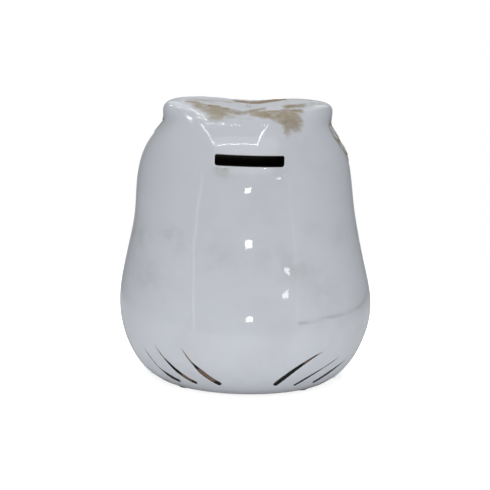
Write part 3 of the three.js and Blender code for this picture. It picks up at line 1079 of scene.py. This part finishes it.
# ---- stage, light and camera
FLOOR_RADIUS = 0.9  # sizes of the stage are in metres
FLOOR_TONE = (3.2, 3.2, 3.2, 1)
GAP_LIGHT = 0.85  # how far the gap between foot and floor is lit through
SHADOW_LIGHT = 0.3  # how much the shadow on the floor is lifted
TABLE_RADIUS = 0.36
TABLE_HOLE = 0.04  # hole that the lamp under the floor shines through
TABLE_TONE = (0.85, 0.85, 0.85, 1)
TABLE_TINT = (0.96, 0.98, 1, 1)
TABLE_GLOW = 0.34
SURROUND_RADIUS = 2.6
WHITE = (1, 1, 1, 1)
SKY_TINT = (0.94, 0.97, 1.0, 1)
OPEN_SIDE = 48  # half width of the open side, in degrees
OPEN_LEVEL = 0.22
SIDE_LEVEL = 0.42
FACE_LEVEL = 0.18
BACKDROP_LEVEL = 0.5
CEILING_LEVEL = 0.5
WINDOW_EDGES = [(44, 1.5), (-46, 1.0)]  # bright upright lines: azimuth and strength
LED_HEIGHT = 0.6  # square rings of small lamps in the ceiling
LED_RINGS = [((0.095, 0.12), 0.185), ((0.30, -0.26), 0.12)]  # middle and half width
LED_PITCH = 0.019
LED_SIZE = 0.006
LED_GLOW = 70.0

# Soft boxes: azimuth from behind the owl and elevation in degrees, distance, width and height in
# metres, and power in watts
SOFT_BOXES = {
    "top_box": (0, 48, 1.2, 1.2, 1.0, 4.0),
    "window": (-4, 5, 3.0, 0.29, 0.19, 3.0),
    "side_lamp": (-35, 16.1, 1.5, 0.13, 0.05, 0.18),
    "side_strip_1": (-41, 18.9, 1.5, 0.09, 0.005, 0.008),
    "side_strip_2": (-40, 18.2, 1.5, 0.09, 0.006, 0.012),
    "face_box": (180, 40, 1.4, 1.2, 1.0, 2.5),
    "under_box": (0, -89, 0.3, 0.1, 0.1, 0.12),
}
LAMP_AIM = Vector((0, 0, 0.07))
CAMERA_DISTANCE = 0.90
CAMERA_ELEVATION = math.radians(10.5)
CAMERA_ROLL = math.radians(1.28)
FRAME_WIDTH = 0.2548  # what the picture spans at the object, in metres
AIM = Vector((0.0006, 0.0, 0.0686))


def round_sheet(name, radius, hole=0.001, sides=96):
    """Flat round sheet with a round hole in its middle."""
    form = bmesh.new()
    turns = [2 * math.pi * i / sides for i in range(sides)]
    inner, outer = (
        [form.verts.new((reach * math.cos(a), reach * math.sin(a), 0)) for a in turns]
        for reach in (hole, radius)
    )
    for i in range(sides):
        j = (i + 1) % sides
        form.faces.new((inner[i], outer[i], outer[j], inner[j]))
    return add_object(name, mesh_from(form, name))


def only_seen_by(obj, *rays):
    for ray in ("camera", "diffuse", "glossy", "transmission", "shadow"):
        setattr(obj, "visible_" + ray, ray in rays)


def make_glow(obj, name, strength):
    s = new_shader(name)
    obj.data.materials.append(s.show(s.shader("Emission", Color=WHITE, Strength=strength)))


def build_floor():
    """A pale paper floor that fades out, and is clear from below."""
    floor = round_sheet("floor", FLOOR_RADIUS)
    s = new_shader("floor_paper")
    distance = s.distance()
    paper = s.shader("BsdfDiffuse", Color=FLOOR_TONE)
    clear = s.shader("BsdfTransparent", Color=WHITE)
    from_below = s.node("NewGeometry").outputs["Backfacing"]
    behind = s.span(s.axes(s.place())[1], 0.0, 0.01)
    gap = s.times(s.span(distance, 0.036, 0.039), s.span(distance, 0.08, 0.046), behind, GAP_LIGHT)
    faded = s.math("MAXIMUM", s.span(distance, 0.14, 0.4, SHADOW_LIGHT, 1.0), from_below)
    floor.data.materials.append(s.show(s.cross(s.math("MAXIMUM", faded, gap), paper, clear)))
    only_seen_by(floor, "camera")
    return floor


def build_table():
    """A sheet just under the floor that throws light up at the owl, out of sight itself."""
    table = round_sheet("table", TABLE_RADIUS, TABLE_HOLE)
    table.location.z = -0.0005
    s = new_shader("table_white")
    distance = s.distance()
    behind = s.span(s.axes(s.place())[1], -0.04, 0.12)
    glow = s.times(s.span(distance, 0.05, 0.085), behind, TABLE_GLOW)
    both = s.node("AddShader")
    s.put(both.inputs[0], s.shader("BsdfDiffuse", Color=TABLE_TONE))
    s.put(both.inputs[1], s.shader("Emission", Color=TABLE_TINT, Strength=glow))
    clear = s.shader("BsdfTransparent", Color=WHITE)
    edge = s.span(distance, 0.2, TABLE_RADIUS - 0.01)
    table.data.materials.append(s.show(s.cross(edge, both.outputs[0], clear)))
    only_seen_by(table, "diffuse", "glossy", "shadow")
    return table


def build_surround():
    """A white dome round everything, which only the camera sees."""
    form = bmesh.new()
    bmesh.ops.create_uvsphere(form, u_segments=48, v_segments=24, radius=SURROUND_RADIUS)
    dome = add_object("surround", mesh_from(form, "surround"))
    make_glow(dome, "surround_white", 1.0)
    only_seen_by(dome, "camera")
    return dome


def led_ring(name, middle, half):
    """Square ring of small lamps in the ceiling, seen only where the glaze mirrors it."""
    form = bmesh.new()
    centre = Vector((*middle, LED_HEIGHT))
    for side in range(4):
        turn = Matrix.Rotation(side * math.pi / 2, 4, "Z")
        for i in range(round(2 * half / LED_PITCH)):
            along = -half + i * LED_PITCH
            corners = []
            for dx, dy in ((0, 0), (0, 1), (1, 1), (1, 0)):
                place = turn @ Vector((along + dx * LED_SIZE, -half + dy * LED_SIZE, 0))
                corners.append(form.verts.new(place + centre))
            form.faces.new(corners)
    ring = add_object(name, mesh_from(form, name))
    make_glow(ring, "led_white", LED_GLOW)
    only_seen_by(ring, "glossy")
    return ring


def build_stage():
    rings = [led_ring(f"led_ring_{k}", *setting) for k, setting in enumerate(LED_RINGS)]
    build_floor()
    build_table()
    build_surround()


def look_at(obj, target, out, distance, roll=0.0):
    """Put an object at a distance out from a target, looking back at it."""
    obj.location = target + out * distance
    obj.rotation_mode = "QUATERNION"
    turn = Matrix.Rotation(roll, 4, "Z").to_quaternion()
    obj.rotation_quaternion = (-out).to_track_quat("-Z", "Y") @ turn


def add_soft_box(name, azimuth, elevation, distance, width, height, power):
    """A soft box that looks at the owl and isn't seen itself."""
    data = bpy.data.lights.new(name, "AREA")
    data.shape = "RECTANGLE"
    data.size = width
    data.size_y = height
    data.energy = power
    lamp = add_object(name, data)
    a, e = math.radians(azimuth), math.radians(elevation)
    out = Vector((math.sin(a) * math.cos(e), math.cos(a) * math.cos(e), math.sin(e)))
    look_at(lamp, LAMP_AIM, out, distance)
    lamp.visible_camera = False


def build_room():
    """Light all round: dim behind the owl, brighter at its sides, with a pale ceiling."""
    s = Shader(bpy.data.worlds.new("room"), "OutputWorld")
    x, y, z = s.axes(s.node("TexCoord").outputs["Generated"])
    signed = s.math("ARCTAN2", x, y)
    azimuth = s.math("ABSOLUTE", signed)
    level = OPEN_LEVEL
    bands = [
        (OPEN_SIDE - 4, OPEN_SIDE + 4, SIDE_LEVEL - OPEN_LEVEL),
        (OPEN_SIDE, 150, FACE_LEVEL - SIDE_LEVEL),
        (156, 172, BACKDROP_LEVEL - FACE_LEVEL),
    ]
    for start, end, change in bands:
        band = s.span(azimuth, math.radians(start), math.radians(end))
        level = s.math("MULTIPLY_ADD", band, change, level)
    low_down = s.span(z, 0.35, 0.2)
    for turn, strength in WINDOW_EDGES:
        away = s.math("ABSOLUTE", s.math("SUBTRACT", signed, math.radians(turn)))
        line = s.times(s.span(away, math.radians(2.2), 0.0), low_down)
        level = s.math("MULTIPLY_ADD", line, strength, level)
    ceiling = s.span(s.math("MULTIPLY_ADD", x, 0.2, z), 0.45, 0.7)
    rise = s.math("SUBTRACT", CEILING_LEVEL, level)
    level = s.math("MULTIPLY_ADD", ceiling, rise, level)
    bpy.context.scene.world = s.show(s.shader("Background", Color=SKY_TINT, Strength=level))


def build_camera():
    data = bpy.data.cameras.new("camera")
    data.sensor_width = 36
    data.lens = data.sensor_width * CAMERA_DISTANCE / FRAME_WIDTH
    data.clip_start = 0.05
    data.clip_end = 20
    camera = add_object("camera", data)
    back = Vector((0, math.cos(CAMERA_ELEVATION), math.sin(CAMERA_ELEVATION)))
    look_at(camera, AIM, back, CAMERA_DISTANCE, CAMERA_ROLL)
    bpy.context.scene.camera = camera


# ---- assembly
build_camera()
build_room()
for name, setting in SOFT_BOXES.items():
    add_soft_box(name, *setting)
build_stage()
bpy.context.scene.view_settings.view_transform = "Standard"

casting = build_casting()
casting.data.materials.append(glaze_material())
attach(casting, "bank")
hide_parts("owl_shell")

rubber = rubber_material()
stopper = build_stopper()
for piece in (stopper, build_grip()):
    piece.data.materials.append(rubber)
    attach(piece, "bung")
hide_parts("stopper")

felt = felt_material()
for index in range(1, 5):
    pad = build_pad(index)
    pad.data.materials.append(felt)
    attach(pad, "bank")
    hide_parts(f"felt_pad_{index}")
